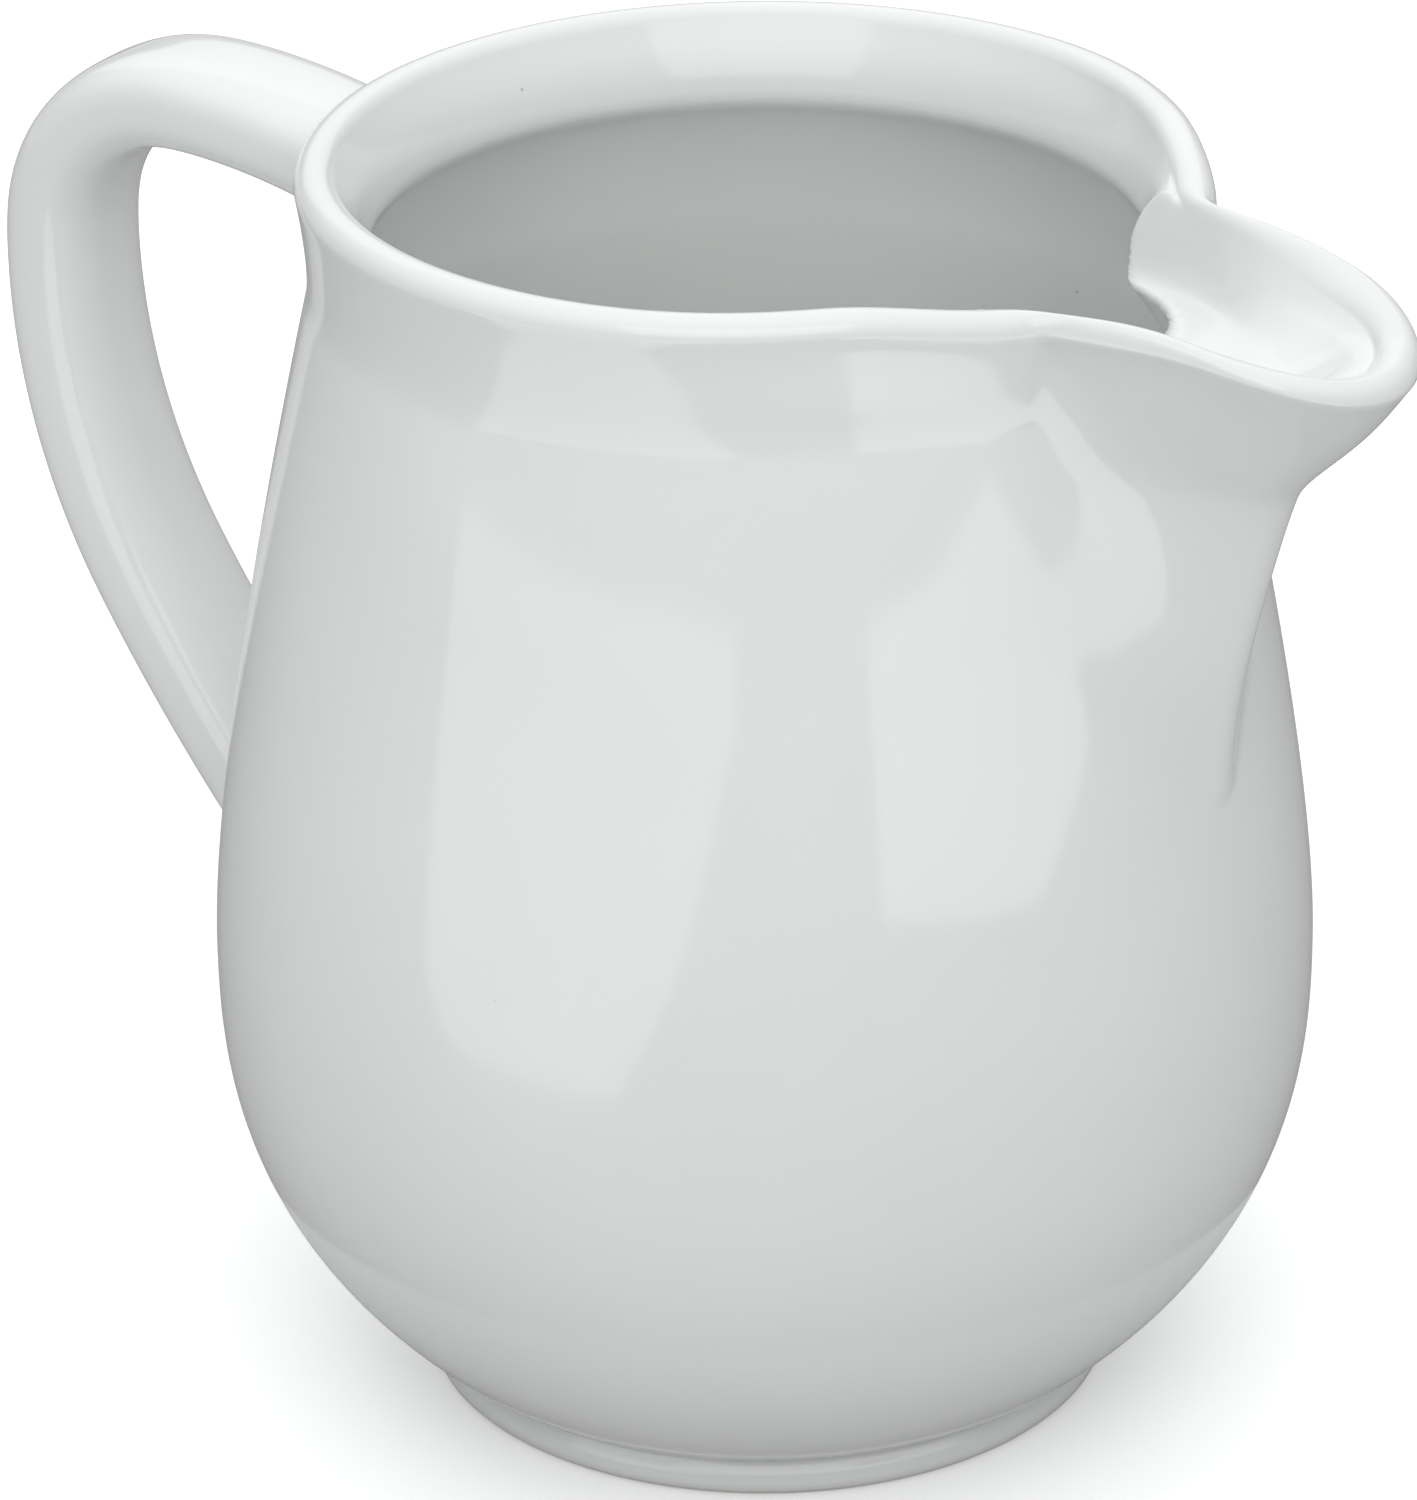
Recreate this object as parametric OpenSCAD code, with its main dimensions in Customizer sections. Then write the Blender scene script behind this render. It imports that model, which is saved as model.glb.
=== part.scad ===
// White glazed porcelain creamer: egg-shaped belly, flared round mouth,
// pinched beak spout along +X, strap handle along -X, low foot ring.
// Origin: centre of the foot ring, on the surface that the creamer stands on.

/* [Body] */
// Largest radius of the belly
belly_r = 43; // [38:0.5:46]
// Height at which the belly is widest
belly_z = 36.3; // [33:0.1:40]
// Radius of the neck, where it starts to flare into the rim
neck_r = 34.4; // [33:0.1:34.8]
// Height at which the neck starts to flare
neck_z = 89.8; // [88:0.1:92]
// Height of the rim's top
rim_z = 101; // [99:0.5:103]
// Thickness of the belly wall
wall = 3; // [2.6:0.1:3.6]
// Radius of the underside, where the foot ring is stuck on
base_r = 27.2; // [26:0.1:29]

/* [Mouth] */
// Outer radius of the rim
rim_r = 35; // [34.8:0.1:36]
// Radius of the rim's rounded edge
lip_round = 1.7; // [1.4:0.1:2]
// Radius of the throat, the narrowest part of the mouth
throat_r = 29.3; // [28:0.1:30]
// Depth of the throat below the rim's top
throat_depth = 7; // [6:0.5:8]

/* [Foot] */
// Height of the foot ring
foot_h = 3; // [2.6:0.1:3.4]
// Outer radius of the foot ring
foot_r = 27; // [26.5:0.1:27.1]
// Width of the foot ring
foot_w = 5; // [4.5:0.1:6]

/* [Spout] */
// Distance from the axis to the spout's tip
spout_reach = 54.9; // [53:0.1:57]
// Height of the keel's lower end
keel_z = 57.5; // [54:0.5:60]
// How far the spout's lip falls from the rim to the tip
spout_drop = 7.3; // [5:0.1:8]
// Half of the angle between the spout's sides, at the lip
spout_angle = 10.5; // [8:0.5:14]
// Radius of the tip in plan
tip_r = 10.4; // [9:0.1:11]

/* [Handle] */
// Thickness of the handle strap
handle_t = 7.7; // [6.5:0.1:8]
// Width of the handle strap
handle_w = 12.2; // [10:0.1:13]
// Height at which the handle leaves the neck
handle_z = 93; // [91:0.2:94]
// Thickness of the slip pads under the handle's ends, and how far they stand out around it
joint_h = 1.3; // [1:0.1:1.6]

/* [Hidden] */
$fn = 96;
glaze = "whitesmoke";
bisque = "antiquewhite";

// ---- curves ----
function bezier(p, t) =
    pow(1 - t, 3) * p[0] + 3 * pow(1 - t, 2) * t * p[1]
    + 3 * (1 - t) * t * t * p[2] + pow(t, 3) * p[3];
function bezier_slope(p, t) =
    3 * pow(1 - t, 2) * (p[1] - p[0]) + 6 * (1 - t) * t * (p[2] - p[1])
    + 3 * t * t * (p[3] - p[2]);
// The point at distance gap to the right of the curve's direction of travel
function beside(p, t, gap) =
    let (d = bezier_slope(p, t))
    bezier(p, t) + gap * [d[1], -d[0]] / norm(d);
function blend(a, b, s) = a + (b - a) * s;

// ---- the body's outline, as radius and height ----
base_z = foot_h;
// How far each curve runs straight on from its end: out and up from the base,
// down and up from the widest level, and along the neck, which leans in by neck_lean
base_pull = [15.6, 12.1];
belly_pull = [8.1, 16.4];
neck_pull = 2;
neck_lean = 0.225;
flare_pull = [0.6, 3.4];
lower_belly = [
    [base_r, base_z], [base_r, base_z] + base_pull,
    [belly_r, belly_z - belly_pull[0]], [belly_r, belly_z]
];
upper_belly = [
    [belly_r, belly_z], [belly_r, belly_z + belly_pull[1]],
    [neck_r + neck_pull * neck_lean, neck_z - neck_pull], [neck_r, neck_z]
];
lip_z = rim_z - lip_round;
lip_c = rim_r - lip_round;
flare = [
    [neck_r, neck_z], [neck_r - neck_pull * neck_lean, neck_z + neck_pull],
    [rim_r, lip_z] - flare_pull, [rim_r, lip_z]
];
curve_steps = 14;
flare_steps = 5;

function outer_line(gap) = concat(
    [for (i = [0:curve_steps]) beside(lower_belly, i / curve_steps, gap)],
    [for (i = [1:curve_steps]) beside(upper_belly, i / curve_steps, gap)]
);
function flare_line(gap) = [for (i = [1:flare_steps]) beside(flare, i / flare_steps, gap)];

// The rounded edge of the rim, from its outside over the top to the inside
lip_turn = 150;
lip_steps = 8;
lip_line = [
    for (i = [1:lip_steps])
    let (a = i * lip_turn / lip_steps)
    [lip_c + lip_round * cos(a), lip_z + lip_round * sin(a)]
];

// The mouth's inner slope, down to the throat, and the wall below it
throat_z = rim_z - throat_depth;
throat_pull = 2;
undercut_depth = 8;
undercut_pull = [-0.9, 4];
lip_end = lip_line[lip_steps - 1];
slope = [
    lip_end, lip_end + lip_round * [-0.5, -0.9],
    [throat_r, throat_z + throat_pull], [throat_r, throat_z]
];
undercut_z = throat_z - undercut_depth;
inner_top = [for (p = outer_line(-wall)) if (p[1] > base_z + wall && p[1] < undercut_z) p];
inner_end = inner_top[len(inner_top) - 1];
undercut = [
    [throat_r, throat_z], [throat_r, throat_z - throat_pull],
    inner_end + undercut_pull, inner_end
];
mouth_steps = 5;
mouth_line = concat(
    [for (i = [1:mouth_steps]) bezier(slope, i / mouth_steps)],
    [for (i = [1:mouth_steps - 1]) bezier(undercut, i / mouth_steps)]
);
floor_z = base_z + wall;
inner_line = [for (i = [len(inner_top) - 1:-1:0]) inner_top[i]];

// The whole body with no hollow, grown by gap all over its side and carried on upwards past the rim
module envelope(gap = 0) {
    over = lip_z + 3 * lip_round;
    rotate_extrude()
        polygon(concat(
            [[0, base_z - gap]],
            outer_line(gap),
            flare_line(gap),
            [[rim_r + gap, over], [0, over]]
        ));
}

// ---- the spout, as a beak around the X axis ----
spout_spread = 44;
beak_points = 24;
beak_back = 17;
mouth_in = 3.6;

// The keel in the XZ plane: straight up the belly, then out under the lip
keel_steps = 6;
lip_low = lip_z - spout_drop;
keel_foot = [belly_r - 2.2, keel_z];
keel_bend = [belly_r + 3.8, lip_low - 9.4];
keel_lower = [keel_foot, keel_foot + [0.8, 6.5], keel_bend - [2.2, 5.6], keel_bend];
keel_upper = [keel_bend, keel_bend + [1.6, 2.8], [spout_reach - 0.3, lip_low - 3.8], [spout_reach, lip_low]];
keel = concat(
    [for (i = [0:keel_steps]) bezier(keel_lower, i / keel_steps)],
    [for (i = [1:keel_steps]) bezier(keel_upper, i / keel_steps)]
);

// The nose of each ring, from the lower end of the keel (s = 0) to the lip (s = 1)
keel_angle = 52;
keel_r = 2.2;
function side_angle(s) = blend(keel_angle, spout_angle, pow(s, 2));
function nose_r(s) = blend(keel_r, tip_r, pow(s, 6));

// Distance from the axis to a rounded nose of reach x, tip radius r and side angle b, in direction a
function nose(a, x, r, b) =
    let (c = x - r, turn = atan2(r * cos(b), c + r * sin(b)))
    abs(a) < turn
    ? c * cos(a) + sqrt(r * r - pow(c * sin(a), 2))
    : (c * sin(b) + r) / sin(abs(a) + b);

// The lip falls towards the tip, in step with its distance from the axis
function lip_at(d) =
    lip_z - spout_drop * pow(max(0, min(1, (d - neck_r) / (spout_reach - neck_r))), 1.5);

// The ring through a point k of the keel, drawn in by inset and raised by rise
function beak_ring(k, inset, rise) =
    let (s = (k[1] - keel_z) / (lip_low - keel_z))
    [
        for (i = [-1:beak_points])
        let (
            at_back = i < 0 || i == beak_points,
            a = blend(-spout_spread, spout_spread, max(0, min(1, i / (beak_points - 1)))),
            top = lip_at(nose(a, spout_reach, tip_r, spout_angle)),
            d = at_back ? beak_back : nose(a, k[0], nose_r(s), side_angle(s)) - inset
        )
        [d * cos(a), d * sin(a), blend(keel_z, top, s) + rise]
    ];

beak_shape = concat(
    [for (k = keel) beak_ring(k, 0, 0)],
    [for (a = [30:30:90]) beak_ring([spout_reach, lip_low], lip_round * (1 - cos(a)), lip_round * sin(a))]
);

// A closed solid through rings of points, each ring symmetric about its first-to-last mirror line
module loft(rings) {
    n = len(rings[0]);
    m = len(rings);
    half = floor(n / 2);
    sides = [
        for (j = [0:m - 2], i = [0:n - 1])
        let (k = (i + 1) % n)
        each [[j * n + i, (j + 1) * n + k, j * n + k], [j * n + i, (j + 1) * n + i, (j + 1) * n + k]]
    ];
    cap = [
        for (i = [0:half - 2])
        each [[i, i + 1, n - 2 - i], [i, n - 2 - i, n - 1 - i]]
    ];
    bottom = [for (f = cap) if (f[1] != f[2]) f];
    top = [for (f = bottom) [for (v = [2:-1:0]) (m - 1) * n + f[v]]];
    polyhedron(points = [for (r = rings) each r], faces = concat(sides, bottom, top));
}

// The open gutter that the milk runs along: a flat-bottomed trough, closed by the lip at the tip
gutter_z = 90.7;
gutter_rise = 1.2;
gutter_half_w = 5.5;
gutter_slope = 36;
gutter_depth = 14;
gutter_start = 24;

module nose_plan(inset) {
    polygon(concat(
        [[gutter_start, 0]],
        [for (i = [0:beak_points])
            let (
                a = blend(-spout_spread / 2, spout_spread / 2, i / beak_points),
                d = nose(a, spout_reach, tip_r, spout_angle) - inset
            )
            [d * cos(a), d * sin(a)]]
    ));
}

module gutter() {
    half_top = gutter_half_w + gutter_depth * tan(gutter_slope);
    intersection() {
        translate([0, 0, gutter_z - wall])
            linear_extrude(rim_z)
                nose_plan(mouth_in);
        translate([gutter_start - 4, 0, gutter_z])
            rotate([0, -gutter_rise, 0])
                rotate([90, 0, 90])
                    linear_extrude(spout_reach)
                        polygon([
                            [-gutter_half_w, 0], [gutter_half_w, 0],
                            [half_top, gutter_depth], [-half_top, gutter_depth]
                        ]);
    }
}

// ---- the handle, a strap along tangent arcs in the XZ plane ----
// Each arc is [radius, turn, steps]; the strap starts inside the neck and ends inside the belly
handle_arcs = [[57, 18, 3], [12.9, 88, 9], [52, 34, 5], [150, 10, 3]];
handle_heading = 161;
handle_root_x = -34;
root_in = 4;
tip_in = 5;
section_points = 20;
section_power = 2 / 2.8;

function signed_pow(v, p) = sign(v) * pow(abs(v), p);
// The pose [x, z, heading] after going on along an arc of radius r through turn t
function onward(s, r, t) = [
    s[0] + r * (sin(s[2] + t) - sin(s[2])),
    s[1] + r * (cos(s[2]) - cos(s[2] + t)),
    s[2] + t
];
function ahead(s, d) = [s[0] + d * cos(s[2]), s[1] + d * sin(s[2]), s[2]];
function arc_start(i) =
    i == 0
    ? [handle_root_x, handle_z, handle_heading]
    : onward(arc_start(i - 1), handle_arcs[i - 1][0], handle_arcs[i - 1][1]);

arc_count = len(handle_arcs);
function strap_path(grow) = concat(
    [ahead(arc_start(0), -root_in - grow)],
    [
        for (i = [0:arc_count - 1], k = [0:handle_arcs[i][2] - 1])
        onward(arc_start(i), handle_arcs[i][0], handle_arcs[i][1] * k / handle_arcs[i][2])
    ],
    [arc_start(arc_count), ahead(arc_start(arc_count), tip_in + grow)]
);

// The strap's rounded section in the plane square to its path, grown by grow
function strap_ring(s, grow) = [
    for (i = [0:section_points - 1])
    let (
        a = 360 * (i + 0.5) / section_points,
        up = (handle_t / 2 + grow) * signed_pow(cos(a), section_power),
        out = (handle_w / 2 + grow) * signed_pow(sin(a), section_power)
    )
    [s[0] - up * sin(s[2]), out, s[1] + up * cos(s[2])]
];

module strap(grow = 0) {
    loft([for (s = strap_path(grow)) strap_ring(s, grow)]);
}

// ---- sub-parts ----
module body() {
    color(glaze)
        difference() {
            rotate_extrude()
                polygon(concat(
                    [[0, floor_z], [0, base_z]],
                    outer_line(0),
                    flare_line(0),
                    lip_line,
                    mouth_line,
                    inner_line
                ));
            gutter();
        }
}

module foot_ring() {
    edge = 0.9;
    lean = 0.6;
    groove = 0.8;
    inner_r = foot_r - foot_w;
    color(bisque)
        rotate_extrude()
            polygon(concat(
                [[inner_r - lean, foot_h], [inner_r, edge]],
                [for (a = [225, 270]) [inner_r + edge * (1 + cos(a)), edge * (1 + sin(a))]],
                [for (a = [270:30:360]) [foot_r - edge * (1 - cos(a)), edge * (1 + sin(a))]],
                [[foot_r - 0.2, foot_h - groove], [foot_r - lean, foot_h]]
            ));
}

module spout() {
    color(glaze)
        difference() {
            loft(beak_shape);
            gutter();
            envelope();
        }
}

module handle() {
    color(glaze)
        difference() {
            strap();
            envelope(joint_h);
        }
}

// A pad of slip that the handle's end sits on, standing out from the handle on all sides
module handle_joint() {
    difference() {
        intersection() {
            strap(joint_h);
            envelope(joint_h);
        }
        envelope();
    }
}

module upper_handle_joint() {
    color(glaze)
        intersection() {
            handle_joint();
            translate([-2 * belly_r, -belly_r, belly_z + belly_r - 10])
                cube([2 * belly_r, 2 * belly_r, belly_r]);
        }
}

module lower_handle_joint() {
    color(glaze)
        intersection() {
            handle_joint();
            translate([-2 * belly_r, -belly_r, 0])
                cube([2 * belly_r, 2 * belly_r, belly_z + belly_r - 20]);
        }
}

body();
foot_ring();
spout();
handle();
upper_handle_joint();
lower_handle_joint();
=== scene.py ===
"""A white glazed porcelain cream pitcher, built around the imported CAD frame.

Shapes are worked out in millimetres, in the frame's own axes: +Z up, spout along +X,
handle along -X, origin on the table under the middle of the foot ring.
"""

import math

import bpy
import numpy as np
from mathutils import Matrix, Vector


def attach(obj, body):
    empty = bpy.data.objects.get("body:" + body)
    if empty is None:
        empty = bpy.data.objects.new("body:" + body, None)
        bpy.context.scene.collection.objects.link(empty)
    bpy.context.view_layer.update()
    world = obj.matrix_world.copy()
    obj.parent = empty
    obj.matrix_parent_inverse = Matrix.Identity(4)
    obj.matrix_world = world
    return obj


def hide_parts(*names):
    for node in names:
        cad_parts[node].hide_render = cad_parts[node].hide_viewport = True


MM = 0.001

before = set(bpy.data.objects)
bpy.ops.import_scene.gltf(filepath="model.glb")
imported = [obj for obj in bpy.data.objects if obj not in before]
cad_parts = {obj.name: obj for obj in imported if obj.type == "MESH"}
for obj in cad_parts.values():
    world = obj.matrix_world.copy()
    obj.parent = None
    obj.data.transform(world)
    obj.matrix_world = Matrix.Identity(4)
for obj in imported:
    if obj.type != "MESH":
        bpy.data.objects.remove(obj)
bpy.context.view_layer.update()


# ---------------------------------------------------------------- small maths
def bezier(points, count):
    """count points along a cubic Bezier."""
    p = np.array(points, float)
    t = np.linspace(0, 1, count)[:, None]
    return (1 - t) ** 3 * p[0] + 3 * (1 - t) ** 2 * t * p[1] + 3 * (1 - t) * t**2 * p[2] + t**3 * p[3]


def smooth_step(v):
    """0 to 1 as v goes from 0 to 1, level at both ends."""
    v = np.clip(v, 0, 1)
    return v * v * (3 - 2 * v)


def smooth_max(a, b, width):
    """The larger of a and b, rounded where they are within width of each other."""
    h = np.clip(0.5 + 0.5 * (a - b) / width, 0, 1)
    return b + (a - b) * h + width * h * (1 - h)


def smooth_min(a, b, width):
    """The smaller of a and b, rounded in the same way."""
    return -smooth_max(-a, -b, width)


def resample(line, fractions):
    """Points of a polyline at the given fractions of its length."""
    step = np.hypot(*np.diff(line, axis=0).T)
    length = np.concatenate([[0], np.cumsum(step)])
    at = fractions * length[-1]
    return np.stack([np.interp(at, length, line[:, k]) for k in range(line.shape[1])], axis=1)


def soften(line, spacing, sigma):
    """A polyline resampled every spacing, with its corners rounded over about sigma."""
    length = np.hypot(*np.diff(line, axis=0).T).sum()
    even = resample(line, np.linspace(0, 1, int(length / spacing) + 2))
    reach = int(3 * sigma / spacing) + 1
    weights = np.exp(-0.5 * (np.arange(-reach, reach + 1) * spacing / sigma) ** 2)
    weights /= weights.sum()
    padded = np.concatenate([
        2 * even[:1] - even[reach:0:-1], even, 2 * even[-1:] - even[-2:-reach - 2:-1],
    ])
    return np.stack([np.convolve(padded[:, k], weights, "valid") for k in range(2)], axis=1)


# ---------------------------------------------------------------- the vessel's outline
BASE_R, BASE_Z = 27.2, 3.0
BELLY_R, BELLY_Z = 43.0, 36.3
NECK_R, NECK_Z = 34.36, 89.85
RIM_R, RIM_Z = 34.95, 101.0
LIP_R = 1.7
LIP_Z = RIM_Z - LIP_R
WALL = 3.0
THROAT_R, THROAT_Z = 29.24, 93.95
FLOOR_Z = 6.2

outline = np.concatenate([
    bezier([
        (BASE_R, BASE_Z), (BASE_R + 15.6, BASE_Z + 12.1), (BELLY_R, BELLY_Z - 8.1), (BELLY_R, BELLY_Z),
    ], 200),
    bezier([(BELLY_R, BELLY_Z), (BELLY_R, BELLY_Z + 16.4), (NECK_R, NECK_Z), (NECK_R, NECK_Z)], 300)[1:],
    bezier([
        (NECK_R, NECK_Z), (NECK_R - 0.45, NECK_Z + 2), (RIM_R - 0.6, LIP_Z - 3.4), (RIM_R, LIP_Z),
    ], 100)[1:],
])


def body_radius(z):
    """Outer radius of the plain vessel at a height."""
    return np.interp(z, outline[:, 1], outline[:, 0])


# ---------------------------------------------------------------- the spout
KEEL_Z = 57.5
KEEL_TIP_Z = 92.6
keel_line = np.concatenate([
    bezier([(40.8, KEEL_Z), (41.6, 64), (44.6, 77), (46.8, 82.6)], 100),
    bezier([(46.8, 82.6), (48.4, 85.4), (53.6, 88.0), (54.9, KEEL_TIP_Z)], 100)[1:],
])
# Half of the fan round +X that holds the spout and its gutter
OPEN_ANGLE = math.radians(36)
LIP_REACH = 54.9
LIP_TIP_R = 11.0
LIP_ANGLE = math.radians(9.5)
GUTTER_ANGLE = math.radians(18)
SPOUT_LIP_R = 1.8
# Radius and half-angle of the keel's nose in plan, where the keel starts
KEEL_R = 2.2
KEEL_ANGLE = math.radians(52)
# How softly the spout runs into the round vessel, in millimetres
BLEND = 2.0
# How far the lip's bead turns over, and its width in units of its radius
BEAD_TURN = math.radians(150)
BEAD_SPAN = 1 - math.cos(BEAD_TURN)
# The rim is pinched in most, by PINCH, at PINCH_ANGLE from the spout
PINCH = 0.8
PINCH_ANGLE, PINCH_SPAN = math.radians(44), math.radians(19)
# The lip falls by ROOT_DROP between DIP_ANGLE and the spout's root, then by RUN_DROP out to the tip
ROOT_DROP, RUN_DROP = 2.2, 4.5
DIP_ANGLE, DIP_SPAN = math.radians(50), math.radians(32)
RUN_START, RUN_LENGTH = 36, 19
# The nose's outline is drawn in over this much of a turn, so that it never reaches the far side
NOSE_END, NOSE_FADE, NOSE_PULL = math.radians(50), math.radians(40), 20


def nose(angle, reach, radius, spread):
    """Distance from the axis to a rounded nose in plan, with its tip at reach and sides at spread."""
    a = np.abs(angle)
    c = reach - radius
    turn = np.arctan2(radius * np.cos(spread), c + radius * np.sin(spread))
    tip = c * np.cos(a) + np.sqrt(np.maximum(radius**2 - (c * np.sin(a)) ** 2, 0))
    side = (c * np.sin(spread) + radius) / np.sin(np.minimum(a + spread, math.pi / 2))
    far = np.clip((a - NOSE_END) / NOSE_FADE, 0, 1)
    return np.where(a < turn, tip, side) - NOSE_PULL * far


def rim_radius(angle):
    """Outer radius of the round rim, which is pinched in a little beside the spout."""
    return RIM_R - PINCH * np.exp(-(((np.abs(angle) - PINCH_ANGLE) / PINCH_SPAN) ** 2))


def lip_outline(angle):
    """Outer plan radius of the mouth's edge: the round rim with the spout's nose blended in."""
    return smooth_max(rim_radius(angle), nose(angle, LIP_REACH, LIP_TIP_R, LIP_ANGLE), BLEND)


def lip_drop(angle, reach):
    """How far the lip's crest lies below the rim's: a dip round the root, then a fall towards the tip."""
    root = ROOT_DROP * smooth_step((DIP_ANGLE - np.abs(angle)) / DIP_SPAN)
    run = RUN_DROP * np.clip((reach - RUN_START) / RUN_LENGTH, 0, 1) ** 2.8
    return root + run


def inner_edge(angle):
    """Plan radius of the lip bead's inner end, where the mouth's slope or the gutter starts."""
    inset = BEAD_SPAN * SPOUT_LIP_R
    beak = nose(angle, LIP_REACH - inset, LIP_TIP_R - inset, GUTTER_ANGLE)
    return smooth_max(rim_radius(angle) - BEAD_SPAN * LIP_R, beak, BLEND)


def lip_bead(angle):
    """Outer radius, radial half-width, cross-section radius and centre height of the lip, by angle."""
    edge = lip_outline(angle)
    half_width = (edge - inner_edge(angle)) / BEAD_SPAN
    share = smooth_step((edge - RIM_R) / 6)
    radius = LIP_R + (SPOUT_LIP_R - LIP_R) * share
    height = LIP_Z - lip_drop(angle, edge) + (LIP_R - radius)
    return edge, half_width, radius, height


def outer_radius(angle, z, lip_height):
    """Outer radius of the vessel with its spout at an angle and a height."""
    s = (z - KEEL_Z) / (lip_height - KEEL_Z)
    keel_z = KEEL_Z + s * (KEEL_TIP_Z - KEEL_Z)
    reach = np.interp(keel_z, keel_line[:, 1], keel_line[:, 0])
    reach = reach - np.maximum(-s, 0) * 40
    s = np.clip(s, 0, 1)
    radius = KEEL_R + (LIP_TIP_R - KEEL_R) * s**6
    spread = KEEL_ANGLE + (LIP_ANGLE - KEEL_ANGLE) * s**2
    reach = reach - 0.18 * radius * (1 - s**8)
    reach = reach + (LIP_REACH - keel_line[-1, 0]) * s**8
    width = BLEND * (0.8 + 1.3 * np.sin(math.pi * s))
    return smooth_max(body_radius(z), nose(angle, reach, radius, spread), width)


# ---------------------------------------------------------------- the mouth
funnel = bezier([(31.8, 100.15), (31.0, 98.8), (29.4, 96.8), (THROAT_R, THROAT_Z)], 80)[::-1]
# The gutter's floor starts at SILL_Z, SILL_OUT beyond the throat, and rises SOLE_RISE to its walls
SOLE_RISE = 1.4
SILL_Z = 90.8
SILL_OUT = 3.3
# The throat steps out for the gutter over GATE_SPAN inside GATE_ANGLE; a corner stands in on each side
GATE_ANGLE, GATE_SPAN = math.radians(26), math.radians(17)
CORNER_IN = 1.6
CORNER_ANGLE, CORNER_SPAN = math.radians(25), math.radians(6)
# The undercut meets the wall this far below the throat, and the bowl meets it this far above the floor
UNDERCUT = 11
BOWL_H = 8


def funnel_height(r):
    """Height of the sloped ring between lip and throat at a radius."""
    h = np.interp(r, funnel[:, 0], funnel[:, 1])
    return h + np.maximum(r - funnel[-1, 0], 0) * 1.7


def gutter_height(r, angle, edge_z):
    """Height of the spout's gutter: a flat-bottomed trough that rises to the lip all round."""
    inset = BEAD_SPAN * SPOUT_LIP_R
    c = LIP_REACH - LIP_TIP_R
    tip = LIP_TIP_R - inset
    x = r * np.cos(angle)
    y = np.abs(r * np.sin(angle))
    straight = tip / math.cos(GUTTER_ANGLE) + (c - x) * math.tan(GUTTER_ANGLE)
    past = (x - c) * math.sin(GUTTER_ANGLE) + y * math.cos(GUTTER_ANGLE)
    in_tip = (x - c) * math.cos(GUTTER_ANGLE) > y * math.sin(GUTTER_ANGLE)
    u = np.where(in_tip, np.hypot(x - c, y) / tip, np.where(x > c, past / tip, y / straight))
    knuckle = 0.6 + 0.28 * smooth_step((c - x) / 12)
    sole = SILL_Z + 0.02 * (x - 32) + SOLE_RISE * np.minimum(u / knuckle, 1.3) ** 2
    wall = SILL_Z + SOLE_RISE + (edge_z - SILL_Z - SOLE_RISE) * (u - knuckle) / (1 - knuckle)
    return smooth_max(sole, wall, 1.6)


def inside_radius(z):
    """Inner radius of the belly wall."""
    return body_radius(z) - WALL


def inner_line(angle, start_r, start_z):
    """The inner surface at one angle, from the lip over the throat to the middle of the floor."""
    side = smooth_step((GATE_ANGLE - abs(angle)) / GATE_SPAN)
    corner = math.exp(-((abs(angle) - CORNER_ANGLE) / CORNER_SPAN) ** 2)
    throat = THROAT_R + SILL_OUT * side - CORNER_IN * corner
    r = np.linspace(start_r, throat, 500)
    shift = (throat - THROAT_R) * np.clip((start_r - r) / (start_r - throat), 0, 1)
    z = funnel_height(r - shift)
    if abs(angle) < OPEN_ANGLE:
        z = smooth_min(z, gutter_height(r, angle, start_z), 1.3)
    z = z + (start_z - z[0]) * np.exp(-(start_r - r) / 0.5)
    sill_z = z[-1]
    deep = sill_z - UNDERCUT
    under = bezier([
        (throat, sill_z), (throat + 1.1, sill_z - 0.9),
        (inside_radius(deep) - 0.7, deep + 5), (inside_radius(deep), deep),
    ], 60)
    down = np.linspace(deep, FLOOR_Z + BOWL_H, 120)
    belly = np.stack([inside_radius(down), down], axis=1)
    end_r = belly[-1, 0]
    bowl = bezier([
        (end_r, FLOOR_Z + BOWL_H), (end_r - 6.5, FLOOR_Z + 1.6), (end_r - 14, FLOOR_Z), (0.3, FLOOR_Z),
    ], 60)
    line = np.concatenate([np.stack([r, z], axis=1), under[1:], belly[1:], bowl[1:]])
    return soften(line, 0.1, 0.25)


# ---------------------------------------------------------------- the vessel as one grid
# Columns across the spout's fan, and again round the rest of the vessel
FAN_COLUMNS = 145
angles = np.concatenate([
    np.linspace(-OPEN_ANGLE, OPEN_ANGLE, FAN_COLUMNS),
    np.linspace(OPEN_ANGLE, 2 * math.pi - OPEN_ANGLE, FAN_COLUMNS)[1:-1],
])
signed = np.where(angles > math.pi, angles - 2 * math.pi, angles)
UNDER_ROWS, LOWER_ROWS, UPPER_ROWS, BEAD_ROWS, INNER_ROWS = 22, 55, 80, 18, 120
# The height at which the plain lower vessel gives way to columns that follow the spout
SPLIT_Z = 50.0
# The spout's piece starts SEAM_OUTSIDE rows above SPLIT_Z and ends about SEAM_INSIDE rows past the bead
SEAM_OUTSIDE, SEAM_INSIDE = 2, 62


def lip_values(signed_angles):
    """lip_bead at unordered angles, from a fine even table."""
    table = np.linspace(-math.pi, math.pi, 7201)
    return [np.interp(signed_angles, table, column) for column in lip_bead(table)]


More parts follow.
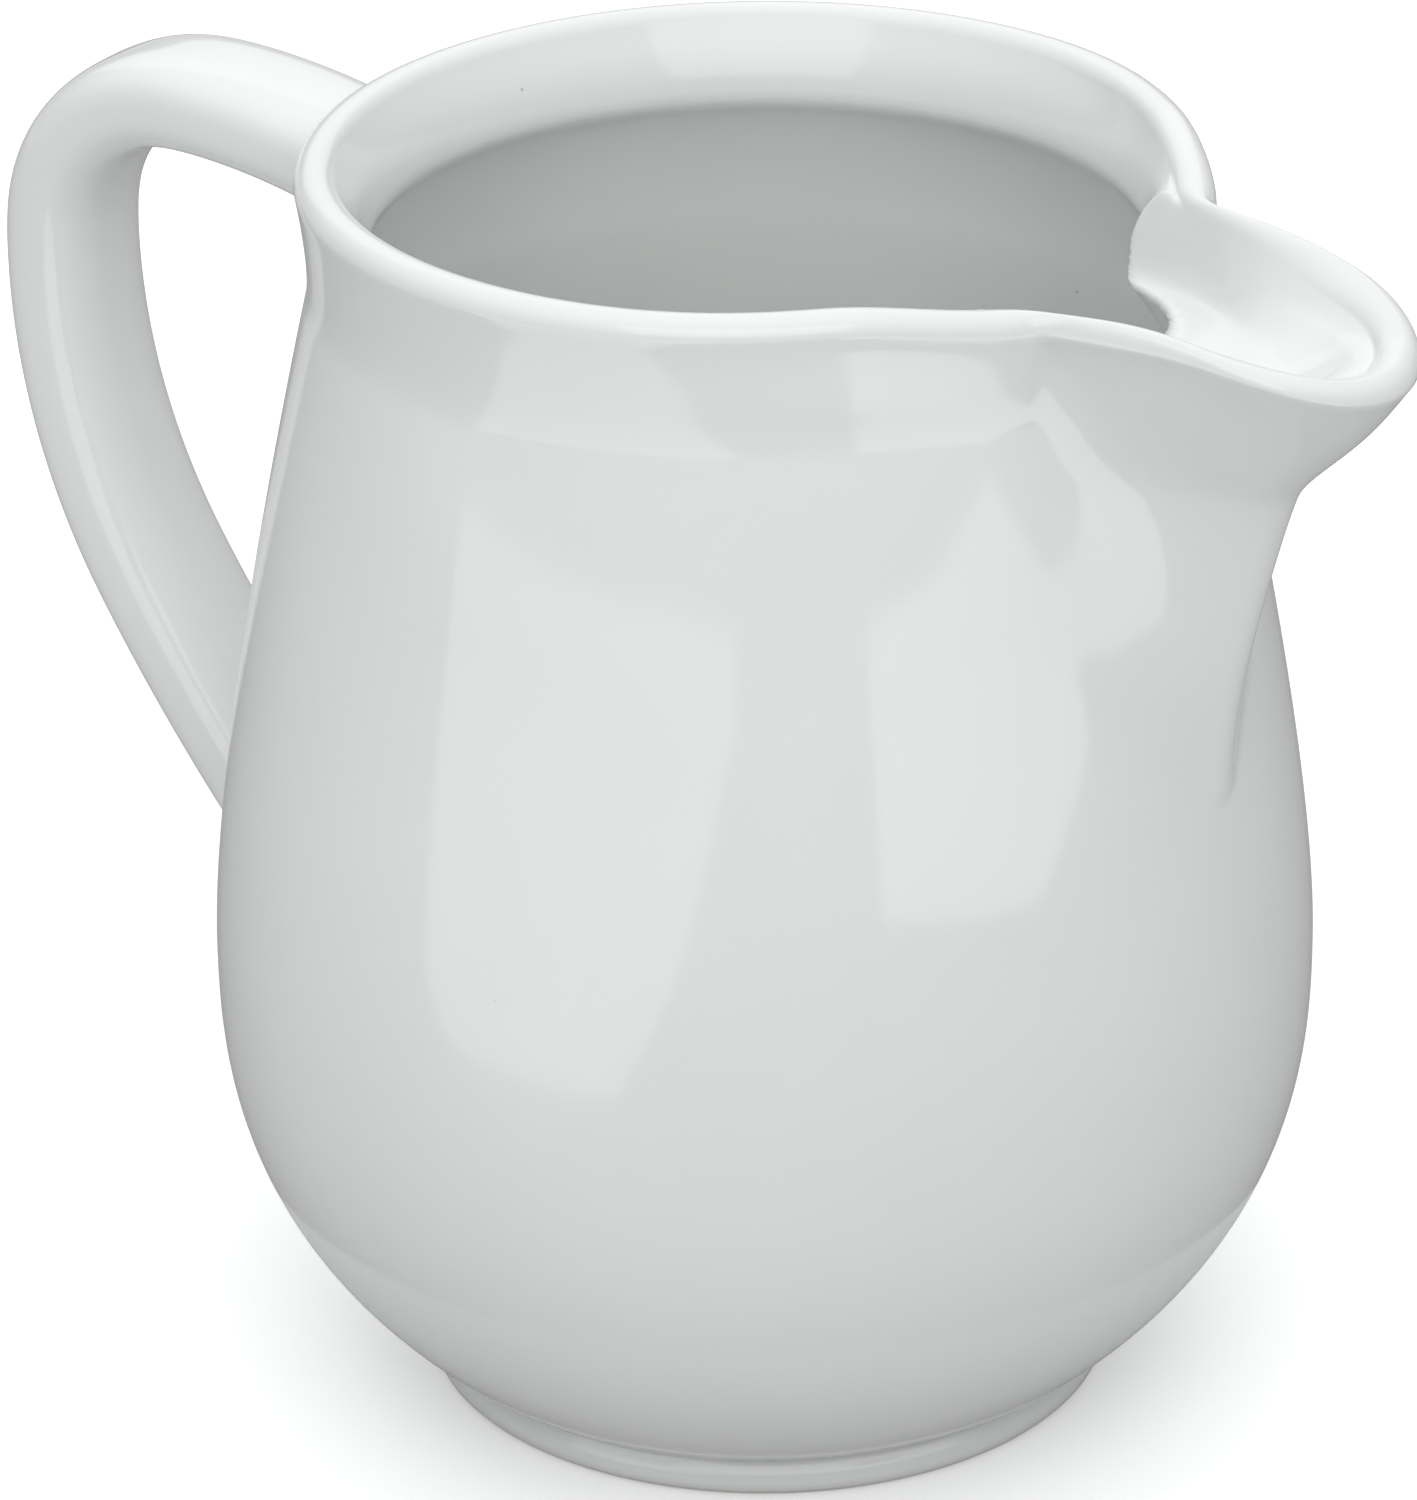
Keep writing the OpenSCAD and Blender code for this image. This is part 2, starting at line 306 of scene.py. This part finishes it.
def vessel_grid():
    """Points of the vessel as rows by columns: up the outside, over the lip and down the inside.

    Also gives the number of rows up to SPLIT_Z.
    """
    edges, half_widths, lips, heights = lip_values(signed)
    under = soften(np.array([
        (0.4, 3.8), (20.0, 3.3), (22.0, 3.0), (26.3, 3.0),
        (BASE_R - 0.1, BASE_Z), (BASE_R + 1.6, BASE_Z + 1.5),
    ]), 0.1, 0.25)
    low = outline[(outline[:, 1] > BASE_Z + 1.5) & (outline[:, 1] <= SPLIT_Z)]
    low = np.concatenate([under[-1:], low, [[body_radius(SPLIT_Z), SPLIT_Z]]])
    low_rows = np.concatenate([
        resample(under, np.linspace(0, 1, UNDER_ROWS)),
        resample(low, np.linspace(0, 1, LOWER_ROWS))[1:],
    ])
    columns = []
    for angle, edge, half_width, lip, height in zip(signed, edges, half_widths, lips, heights):
        z = np.linspace(SPLIT_Z, height, 400)
        r = outer_radius(np.full_like(z, angle), z, height)
        r = r + (edge - r[-1]) * smooth_step((z - height + 6) / 6)
        upper = resample(np.stack([r, z], axis=1), np.linspace(0, 1, UPPER_ROWS))[1:]
        phi = np.linspace(0, BEAD_TURN, BEAD_ROWS)[1:]
        bead = np.stack([edge - half_width * (1 - np.cos(phi)), height + lip * np.sin(phi)], axis=1)
        inner = resample(inner_line(angle, *bead[-1]), np.linspace(0, 1, INNER_ROWS) ** 1.35)[1:]
        columns.append(np.concatenate([low_rows, upper, bead, inner]))
    rz = np.array(columns).transpose(1, 0, 2)
    x = rz[:, :, 0] * np.cos(angles)
    y = rz[:, :, 0] * np.sin(angles)
    return np.stack([x, y, rz[:, :, 1]], axis=2), len(low_rows)


def grid_normals(points):
    """Unit normals of a grid of points whose columns wrap round."""
    wide = np.concatenate([points[:, -3:], points, points[:, :3]], axis=1)
    across = np.gradient(wide, axis=1, edge_order=2)[:, 3:-3]
    along = np.gradient(points, axis=0, edge_order=2)
    n = np.cross(across, along)
    return n / np.maximum(np.linalg.norm(n, axis=2, keepdims=True), 1e-12)


def make_mesh(name, vertices, faces, normals=None):
    """A smooth-shaded mesh object in metres, from millimetres."""
    mesh = bpy.data.meshes.new(name)
    mesh.from_pydata((np.asarray(vertices) * MM).tolist(), [], faces)
    mesh.validate()
    mesh.polygons.foreach_set("use_smooth", [True] * len(mesh.polygons))
    mesh.update()
    if normals is not None:
        mesh.normals_split_custom_set_from_vertices(np.asarray(normals).tolist())
    piece = bpy.data.objects.new(name, mesh)
    bpy.context.scene.collection.objects.link(piece)
    return piece


def tube_faces(rows, columns, close_rows=False, caps=False):
    """Faces of a grid whose columns wrap round; its rows may wrap round too, or end in flat caps."""
    faces = []
    for i in range(rows if close_rows else rows - 1):
        here, above = i * columns, (i + 1) % rows * columns
        for j in range(columns):
            k = (j + 1) % columns
            faces.append((here + j, here + k, above + k, above + j))
    if caps:
        faces.append(list(range(columns))[::-1])
        faces.append([(rows - 1) * columns + j for j in range(columns)])
    return faces


def finish_piece(piece, material, slot, *nodes):
    """Give a piece its material, hang it on the root body, and hide the imported parts that it replaces."""
    piece.data.materials.append(material)
    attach(piece, "root")
    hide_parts(*nodes)


def split_vessel():
    """The vessel grid cut into two closed solids, body and spout: vertices, faces and normals of each."""
    points, low_count = vessel_grid()
    normals = grid_normals(points)
    rows, columns = points.shape[:2]
    first_row = low_count + SEAM_OUTSIDE
    last_row = low_count + UPPER_ROWS + BEAD_ROWS + SEAM_INSIDE
    first_column, last_column = 0, FAN_COLUMNS - 1
    flat = points.reshape(-1, 3)
    flat_normals = normals.reshape(-1, 3)

    def quad(i, j):
        k = (j + 1) % columns
        return (i * columns + j, i * columns + k, (i + 1) * columns + k, (i + 1) * columns + j)

    inside, outside = [], []
    for i in range(rows - 1):
        for j in range(columns):
            in_spout = first_row <= i < last_row and first_column <= j < last_column
            (inside if in_spout else outside).append(quad(i, j))
    # Where body and spout meet: a face at each end column, and a strip through the wall below
    side_walls = []
    for j, forwards in ((first_column, True), (last_column, False)):
        loop = [i * columns + j for i in range(first_row, last_row + 1)]
        side_walls.append(loop if forwards else loop[::-1])
    strip = []
    for j in range(first_column, last_column):
        a, b = first_row * columns + j, first_row * columns + j + 1
        c, d = last_row * columns + j + 1, last_row * columns + j
        strip.append((b, a, d, c))
    body_faces = outside + [w[::-1] for w in side_walls] + [f[::-1] for f in strip]
    spout_faces = inside + side_walls + strip
    # Close the middle of the underside and of the floor
    top = (rows - 1) * columns
    body_faces.append(list(range(columns))[::-1])
    body_faces.append([top + j for j in range(columns)])
    return compact(flat, body_faces, flat_normals), compact(flat, spout_faces, flat_normals)


def compact(points, faces, normals):
    """Only the points that the faces use, with the faces renumbered."""
    used = np.unique(np.concatenate([np.asarray(f) for f in faces]))
    number = np.full(len(points), -1)
    number[used] = np.arange(len(used))
    return points[used], [tuple(int(number[v]) for v in f) for f in faces], normals[used]


# ---------------------------------------------------------------- the foot ring
def foot_grid():
    """The foot ring's closed section, turned round the axis."""
    line = np.array([
        (21.2, 3.1), (21.6, 1.2), (22.2, 0.3), (23.0, 0.0), (26.3, 0.0), (26.9, 0.3),
        (27.1, 1.0), (26.9, 1.9), (26.4, 2.5), (26.3, 3.1),
    ])
    profile = resample(soften(line, 0.1, 0.22), np.linspace(0, 1, 60))
    turn = np.linspace(0, 2 * math.pi, 241)[:-1]
    r = profile[:, 0][:, None]
    z = np.repeat(profile[:, 1][:, None], len(turn), axis=1)
    return np.stack([r * np.cos(turn), r * np.sin(turn), z], axis=2)


def foot_ring():
    points = foot_grid()
    faces = tube_faces(*points.shape[:2], close_rows=True)
    return make_mesh("foot_ring_porcelain", points.reshape(-1, 3), faces)


# ---------------------------------------------------------------- the handle
HANDLE_T = 7.7
HANDLE_W = 12.2
# x and z where the strap leaves the neck, and its heading in degrees
HANDLE_START = (-34.0, 93.0, 161.0)
# Radius and turn in degrees of each arc of the strap's middle line
HANDLE_ARCS = [(57, 18), (12.9, 88), (52, 34), (150, 10)]
ARC_STEP = 0.6
# Straight ends: a single step of RUN_IN before the first arc, and RUN_ON points 1 mm apart after the last
RUN_IN, RUN_ON = 5, 9
# The strap's section is a rounded oblong: a superellipse
SECTION_POWER = 2 / 2.8
SECTION_POINTS = 64
STRAP_ROWS, STRAP_SMOOTHING = 260, 30
# How deep the strap's ends and the slip's hidden side sit in the wall
STRAP_BURIED, SLIP_BURIED = 1.2, 0.8
SLIP_ROWS = 17
SLIP_BELOW_LIP = 1.5


def arc_point(x, z, heading, radius, turn):
    """x and z after turning left by turn along an arc that starts at x, z with a heading."""
    return (
        x + radius * (math.sin(heading + turn) - math.sin(heading)),
        z + radius * (math.cos(heading) - math.cos(heading + turn)),
    )


def handle_path():
    """The strap's middle line as rows of x, z, heading and distance, run on straight into the wall."""
    x, z, heading = HANDLE_START
    heading = math.radians(heading)
    rows = [(x - RUN_IN * math.cos(heading), z - RUN_IN * math.sin(heading), heading, -RUN_IN)]
    travelled = 0.0
    for radius, degrees in HANDLE_ARCS:
        turn = math.radians(degrees)
        steps = int(turn * radius / ARC_STEP)
        for k in range(steps):
            t = turn * k / steps
            rows.append((*arc_point(x, z, heading, radius, t), heading + t, travelled + radius * t))
        x, z = arc_point(x, z, heading, radius, turn)
        heading += turn
        travelled += radius * turn
    for k in range(RUN_ON):
        rows.append((x + k * math.cos(heading), z + k * math.sin(heading), heading, travelled + k))
    return np.array(rows)


def section():
    """Points round the strap's section, as up and out, in units of its half sizes."""
    a = np.linspace(0, 2 * math.pi, SECTION_POINTS + 1)[:-1]
    up = np.sign(np.cos(a)) * np.abs(np.cos(a)) ** SECTION_POWER
    out = np.sign(np.sin(a)) * np.abs(np.sin(a)) ** SECTION_POWER
    return up, out


def smooth_curve(values, times):
    """Even out a row of numbers, keeping its ends."""
    for _ in range(times):
        values[1:-1] = (values[:-2] + 2 * values[1:-1] + values[2:]) / 4
    return values


def strap_grid():
    """The strap's surface as rows along it by points round its section, ends inside the vessel."""
    path = handle_path()
    even = np.linspace(path[0, 3], path[-1, 3], STRAP_ROWS)
    path = np.stack([np.interp(even, path[:, 3], path[:, k]) for k in range(4)], axis=1)
    for k in range(3):
        path[:, k] = smooth_curve(path[:, k].copy(), STRAP_SMOOTHING)
    share = np.clip(path[:, 3] / path[-1, 3], 0, 1)
    half_t = HANDLE_T / 2
    half_w = HANDLE_W / 2 * (1 + 0.06 * np.abs(2 * share - 0.8))
    up, out = section()
    x = path[:, 0, None] - half_t * up * np.sin(path[:, 2, None])
    z = path[:, 1, None] + half_t * up * np.cos(path[:, 2, None])
    y = half_w[:, None] * out
    return np.stack([x, y, z], axis=2)


def depth_outside(points):
    """How far each point lies outside the plain vessel, measured level."""
    return np.hypot(points[..., 0], points[..., 1]) - body_radius(points[..., 2])


def meeting_rows(grid, from_start, gap):
    """For each point of the section, the fractional row at which its line comes gap outside the vessel."""
    out = depth_outside(grid) - gap
    rows = np.arange(len(grid))
    found = []
    for j in range(grid.shape[1]):
        column = out[:, j]
        half = len(column) // 2
        if from_start:
            i = np.where(column[:half] < 0)[0][-1]
        else:
            i = half + np.where(column[half:] < 0)[0][0] - 1
        found.append(i + column[i] / (column[i] - column[i + 1]))
    return np.array(found)


def at_rows(grid, rows):
    """Points of the grid's columns at one fractional row each."""
    low = np.clip(np.floor(rows).astype(int), 0, len(grid) - 2)
    part = (rows - low)[:, None]
    j = np.arange(grid.shape[1])
    return grid[low, j] * (1 - part) + grid[low + 1, j] * part


def onto_vessel(points, gap=0.0):
    """The points moved level to lie gap outside the plain vessel."""
    r = np.hypot(points[..., 0], points[..., 1])
    target = body_radius(points[..., 2]) + gap
    moved = points.copy()
    moved[..., 0] *= target / r
    moved[..., 1] *= target / r
    return moved


def handle_mesh(grid):
    """The strap between two buried ends that follow the vessel's wall."""
    start = meeting_rows(grid, True, -STRAP_BURIED)
    end = meeting_rows(grid, False, -STRAP_BURIED)
    points = np.array([at_rows(grid, start + (end - start) * t) for t in np.linspace(0, 1, 240)])
    faces = tube_faces(*points.shape[:2], caps=True)
    return make_mesh("handle_porcelain", points.reshape(-1, 3), faces, grid_normals(points).reshape(-1, 3))


def fillet(name, grid, from_start, size):
    """The slip round one end of the handle, tangent to the strap and to the vessel at its two edges."""
    meet = meeting_rows(grid, from_start, 0.0)
    centre = at_rows(grid, meet)
    step = np.linalg.norm(grid[5] - grid[6], axis=1).mean()
    sign = 1 if from_start else -1
    on_strap = at_rows(grid, meet + sign * size / step)
    ring = np.concatenate([centre[-2:], centre, centre[:2]])
    along_ring = np.gradient(ring, axis=0)[2:-2]
    up = np.zeros_like(centre)
    up[:, 2] = 1
    level = centre * [1, 1, 0]
    level /= np.linalg.norm(level, axis=1)[:, None]
    slope = (body_radius(centre[:, 2] + 0.5) - body_radius(centre[:, 2] - 0.5))[:, None]
    normal = level - slope * up
    normal /= np.linalg.norm(normal, axis=1)[:, None]
    away = np.cross(along_ring, normal)
    away /= np.linalg.norm(away, axis=1)[:, None]
    middle = centre.mean(axis=0)
    away *= np.sign(np.sum(away * (centre - middle), axis=1))[:, None]
    reached = centre + size * away
    reached[:, 2] = np.minimum(reached[:, 2], LIP_Z - SLIP_BELOW_LIP)
    on_body = onto_vessel(reached)
    t = np.linspace(0, 1, SLIP_ROWS)[:, None, None]
    skin = (1 - t) ** 2 * on_strap + 2 * (1 - t) * t * centre + t**2 * on_body
    # The hidden side: in the wall, within the strap's end, and back under the strap's surface
    buried_body = onto_vessel(on_body, -SLIP_BURIED)
    core = onto_vessel(centre + 0.1 * (middle - centre), -SLIP_BURIED)
    buried_strap = on_strap - 0.12 * (on_strap - on_strap.mean(axis=0))
    points = np.concatenate([skin, buried_body[None], core[None], buried_strap[None]])
    normals = np.concatenate([grid_normals(skin), grid_normals(points)[-3:]])
    faces = tube_faces(*points.shape[:2], close_rows=True)
    piece = make_mesh(name, points.reshape(-1, 3), faces)
    mesh = piece.data
    if mesh_volume(points.reshape(-1, 3), faces) < 0:
        mesh.flip_normals()
    outward = normals.reshape(-1, 3)
    if np.sum(outward[: skin.shape[1]] * (on_strap - on_strap.mean(axis=0))) < 0:
        outward = -outward
    mesh.normals_split_custom_set_from_vertices(outward.tolist())
    return piece


def mesh_volume(points, faces):
    """Signed volume inside four-sided faces."""
    total = 0.0
    for f in faces:
        a, b, c, d = (points[v] for v in f)
        total += np.dot(a, np.cross(b, c)) + np.dot(a, np.cross(c, d))
    return total / 6


# ---------------------------------------------------------------- materials
def noise(nodes, links, place, scale, detail):
    """The value of a noise texture over the object's own coordinates."""
    texture = nodes.new("ShaderNodeTexNoise")
    texture.inputs["Scale"].default_value = scale
    texture.inputs["Detail"].default_value = detail
    links.new(place, texture.inputs["Vector"])
    return texture.outputs["Fac"]


def map_range(nodes, links, value, lowest, highest, to_lowest, to_highest):
    """A value carried from one range to another, held at its ends."""
    step = nodes.new("ShaderNodeMapRange")
    step.inputs["From Min"].default_value = lowest
    step.inputs["From Max"].default_value = highest
    step.inputs["To Min"].default_value = to_lowest
    step.inputs["To Max"].default_value = to_highest
    links.new(value, step.inputs["Value"])
    return step.outputs["Result"]


def mix(nodes, links, kind, factor, first, second):
    """A Mix node's result; first and second are sockets or constants."""
    node = nodes.new("ShaderNodeMix")
    node.data_type = kind
    colours = kind == "RGBA"
    first_socket, second_socket = node.inputs[6:8] if colours else node.inputs[2:4]
    links.new(factor, node.inputs[0])
    for socket, value in ((first_socket, first), (second_socket, second)):
        if isinstance(value, (tuple, float)):
            socket.default_value = value
        else:
            links.new(value, socket)
    return node.outputs[2] if colours else node.outputs[0]


# Spacing and radius of the glaze's pinholes, in metres
PINHOLE_CELL = 0.02
PINHOLE_R = 0.00009


def porcelain(name, bare_below=None):
    """White glazed porcelain: soft drift of colour and gloss, faint waviness, and the odd pinhole.

    Below the height bare_below, in metres, the clay is bare: matt and a little warmer.
    """
    material = bpy.data.materials.new(name)
    material.use_nodes = True
    nodes, links = material.node_tree.nodes, material.node_tree.links
    shader = nodes["Principled BSDF"]
    shader.inputs["IOR"].default_value = 1.5
    place = nodes.new("ShaderNodeTexCoord").outputs["Object"]

    drift = noise(nodes, links, place, 35, 3)
    tint = nodes.new("ShaderNodeValToRGB")
    tint.color_ramp.elements[0].position = 0.3
    tint.color_ramp.elements[0].color = (0.795, 0.805, 0.79, 1)
    tint.color_ramp.elements[1].position = 0.7
    tint.color_ramp.elements[1].color = (0.825, 0.835, 0.82, 1)
    links.new(drift, tint.inputs["Fac"])

    cells = nodes.new("ShaderNodeTexVoronoi")
    cells.inputs["Scale"].default_value = 1 / PINHOLE_CELL
    links.new(place, cells.inputs["Vector"])
    radius = PINHOLE_R / PINHOLE_CELL
    pinhole = map_range(nodes, links, cells.outputs["Distance"], radius, 2 * radius, 1, 0)
    colour = mix(nodes, links, "RGBA", pinhole, tint.outputs["Color"], (0.55, 0.54, 0.51, 1))
    gloss = map_range(nodes, links, drift, 0.3, 0.7, 0.07, 0.12)

    ripple = noise(nodes, links, place, 60, 1)
    height = mix(nodes, links, "FLOAT", pinhole, ripple, -1.0)

    if bare_below is not None:
        split = nodes.new("ShaderNodeSeparateXYZ")
        links.new(place, split.inputs["Vector"])
        bare = map_range(nodes, links, split.outputs["Z"], 0.6 * bare_below, bare_below, 1, 0)
        grain = noise(nodes, links, place, 2500, 2)
        colour = mix(nodes, links, "RGBA", bare, colour, (0.78, 0.76, 0.71, 1))
        gloss = mix(nodes, links, "FLOAT", bare, gloss, 0.65)
        height = mix(nodes, links, "FLOAT", bare, height, grain)

    bump = nodes.new("ShaderNodeBump")
    bump.inputs["Strength"].default_value = 0.05
    bump.inputs["Distance"].default_value = 0.0005
    links.new(height, bump.inputs["Height"])
    links.new(colour, shader.inputs["Base Color"])
    links.new(gloss, shader.inputs["Roughness"])
    links.new(bump.outputs["Normal"], shader.inputs["Normal"])
    return material


def floor_paper():
    """Pale matt paper that throws back less light than it shows, so it doesn't flood the underside."""
    material = bpy.data.materials.new("floor_paper")
    material.use_nodes = True
    nodes, links = material.node_tree.nodes, material.node_tree.links
    seen, thrown = nodes["Principled BSDF"], nodes.new("ShaderNodeBsdfDiffuse")
    seen.inputs["Base Color"].default_value = (0.93, 0.93, 0.93, 1)
    seen.inputs["Roughness"].default_value = 0.95
    seen.inputs["Specular IOR Level"].default_value = 0
    seen.inputs["Emission Color"].default_value = (1, 1, 1, 1)
    seen.inputs["Emission Strength"].default_value = 0.22
    thrown.inputs["Color"].default_value = (0.6, 0.6, 0.6, 1)
    path, chosen = nodes.new("ShaderNodeLightPath"), nodes.new("ShaderNodeMixShader")
    links.new(path.outputs["Is Camera Ray"], chosen.inputs["Fac"])
    links.new(thrown.outputs["BSDF"], chosen.inputs[1])
    links.new(seen.outputs["BSDF"], chosen.inputs[2])
    links.new(chosen.outputs["Shader"], nodes["Material Output"].inputs["Surface"])
    return material


# ---------------------------------------------------------------- stage, lights and camera
def stage():
    """The floor that the pitcher stands on."""
    bpy.ops.mesh.primitive_plane_add(size=6, location=(0, 0, 0))
    floor = bpy.context.object
    floor.name = "floor"
    floor.data.materials.append(floor_paper())


def softbox(name, place, target, width, height, watts):
    """A rectangular light at place that faces target, in metres."""
    light = bpy.data.lights.new(name, "AREA")
    light.shape = "RECTANGLE"
    light.size = width
    light.size_y = height
    light.energy = watts
    lamp = bpy.data.objects.new(name, light)
    lamp.location = place
    lamp.rotation_euler = (Vector(target) - Vector(place)).to_track_quat("-Z", "Y").to_euler()
    bpy.context.scene.collection.objects.link(lamp)


def glow(name, strength):
    """A surface that gives out even light and reflects none."""
    material = bpy.data.materials.new(name)
    material.use_nodes = True
    shader = material.node_tree.nodes["Principled BSDF"]
    shader.inputs["Base Color"].default_value = (0, 0, 0, 1)
    shader.inputs["Specular IOR Level"].default_value = 0
    shader.inputs["Emission Color"].default_value = (1, 1, 1, 1)
    shader.inputs["Emission Strength"].default_value = strength
    return material


def hide_from_view(card):
    """Leave the card visible to reflections only."""
    card.visible_camera = False
    card.visible_diffuse = False
    card.visible_shadow = False


def reflector(name, azimuth, distance, corners, strength):
    """A glowing upright card that shows only as a reflection.

    It faces the axis from an azimuth in degrees and a distance; its corners are given sideways and upwards.
    All its lengths are in millimetres.
    """
    a = math.radians(azimuth)
    facing, side = Vector((math.cos(a), math.sin(a), 0)), Vector((-math.sin(a), math.cos(a), 0))
    points = [(facing * distance + side * u + Vector((0, 0, z))) * MM for u, z in corners]
    mesh = bpy.data.meshes.new(name)
    mesh.from_pydata(points, [], [tuple(range(len(points)))])
    card = bpy.data.objects.new(name, mesh)
    bpy.context.scene.collection.objects.link(card)
    mesh.materials.append(glow(name, strength))
    hide_from_view(card)


FLAG_SIDES = 48


def floor_flag(name, inner, outer):
    """A dark ring over the floor that shows only in reflections, so that the glaze's edges stay grey.

    Its inner and outer radii are in metres.
    """
    n = FLAG_SIDES
    turn = [2 * math.pi * k / n for k in range(n)]
    points = [(r * math.cos(a), r * math.sin(a), 0.2 * MM) for r in (inner, outer) for a in turn]
    faces = [(k, (k + 1) % n, n + (k + 1) % n, n + k) for k in range(n)]
    mesh = bpy.data.meshes.new(name)
    mesh.from_pydata(points, [], faces)
    card = bpy.data.objects.new(name, mesh)
    bpy.context.scene.collection.objects.link(card)
    mesh.materials.append(glow(name, 0.3))
    hide_from_view(card)


def world_light(zenith, horizon):
    """Soft light that is strongest overhead and falls off towards the horizon."""
    world = bpy.data.worlds.new("studio")
    world.use_nodes = True
    nodes, links = world.node_tree.nodes, world.node_tree.links
    background = nodes["Background"]
    place = nodes.new("ShaderNodeTexCoord")
    split = nodes.new("ShaderNodeSeparateXYZ")
    links.new(place.outputs["Generated"], split.inputs["Vector"])
    height = nodes.new("ShaderNodeMapRange")
    height.interpolation_type = "SMOOTHSTEP"
    height.inputs["From Min"].default_value = 0.1
    height.inputs["From Max"].default_value = 1.0
    height.inputs["To Min"].default_value = horizon
    height.inputs["To Max"].default_value = zenith
    links.new(split.outputs["Z"], height.inputs["Value"])
    background.inputs["Color"].default_value = (0.975, 0.99, 1, 1)
    links.new(height.outputs["Result"], background.inputs["Strength"])
    bpy.context.scene.world = world


# The camera's place in millimetres, before the view turns by SPOUT_TURN about the vessel's axis
CAMERA_DISTANCE = 564.6
CAMERA_HEIGHT = 314.4
SPOUT_TURN = math.radians(32)
CAMERA_YAW = math.radians(-0.43)
CAMERA_PITCH = math.radians(24.98)
CAMERA_ROLL = math.radians(-0.74)
FOCAL_PIXELS = 8001
PHOTO_WIDTH = 1417


def camera():
    """A long lens, a little above the rim, looking at the pitcher with the spout turned right."""
    data = bpy.data.cameras.new("camera")
    data.sensor_fit = "HORIZONTAL"
    data.sensor_width = 36
    data.lens = 36 * FOCAL_PIXELS / PHOTO_WIDTH
    data.clip_end = 20
    view = bpy.data.objects.new("camera", data)
    yaw, pitch = CAMERA_YAW, CAMERA_PITCH
    forward = Vector((math.sin(yaw) * math.cos(pitch), math.cos(yaw) * math.cos(pitch), -math.sin(pitch)))
    right = Vector((math.cos(yaw), -math.sin(yaw), 0))
    up = right.cross(forward)
    rolled_right = math.cos(CAMERA_ROLL) * right + math.sin(CAMERA_ROLL) * up
    rolled_up = -math.sin(CAMERA_ROLL) * right + math.cos(CAMERA_ROLL) * up
    turn = Matrix((rolled_right, rolled_up, -forward)).transposed().to_4x4()
    place = Matrix.Translation(Vector((0, -CAMERA_DISTANCE, CAMERA_HEIGHT)) * MM)
    view.matrix_world = Matrix.Rotation(SPOUT_TURN, 4, "Z") @ place @ turn
    bpy.context.scene.collection.objects.link(view)
    bpy.context.scene.camera = view


# ---------------------------------------------------------------- the scene
glaze = porcelain("porcelain_glaze")
foot_glaze = porcelain("porcelain_foot", bare_below=0.0005)

body_parts, spout_parts = split_vessel()
finish_piece(make_mesh("body_porcelain", *body_parts), glaze, "glaze", "body")
finish_piece(make_mesh("spout_porcelain", *spout_parts), glaze, "glaze", "spout")
finish_piece(foot_ring(), foot_glaze, "foot", "foot_ring")
strap = strap_grid()
finish_piece(handle_mesh(strap), glaze, "glaze", "handle")
finish_piece(fillet("upper_handle_slip", strap, True, 2.5), glaze, "glaze", "upper_handle_joint")
finish_piece(fillet("lower_handle_slip", strap, False, 3.0), glaze, "glaze", "lower_handle_joint")

stage()
world_light(zenith=1.25, horizon=0.3)
# What the softboxes face, in metres
MIDDLE = (0, 0, 0.05)
softbox("front_window", (0.5, -0.85, 0.8), MIDDLE, 1.2, 0.8, 4.5)
softbox("back_fill", (-0.65, 0.85, 0.7), MIDDLE, 1.2, 0.8, 1.6)
floor_flag("floor_flag", 0.048, 1.0)
CARD_DISTANCE = 130
reflector("left_window", -100, CARD_DISTANCE, [
    (-56, 78), (-50, 22), (-36, 13), (38, 11), (67, 34), (97, 64), (98, 76), (60, 78),
], 1.6)
reflector("right_window", -12, CARD_DISTANCE, [
    (-62, 40), (9, 38), (44, 51), (37, 68), (6, 86), (-34, 78), (-62, 76),
], 1.9)
camera()
bpy.context.scene.view_settings.view_transform = "Standard"
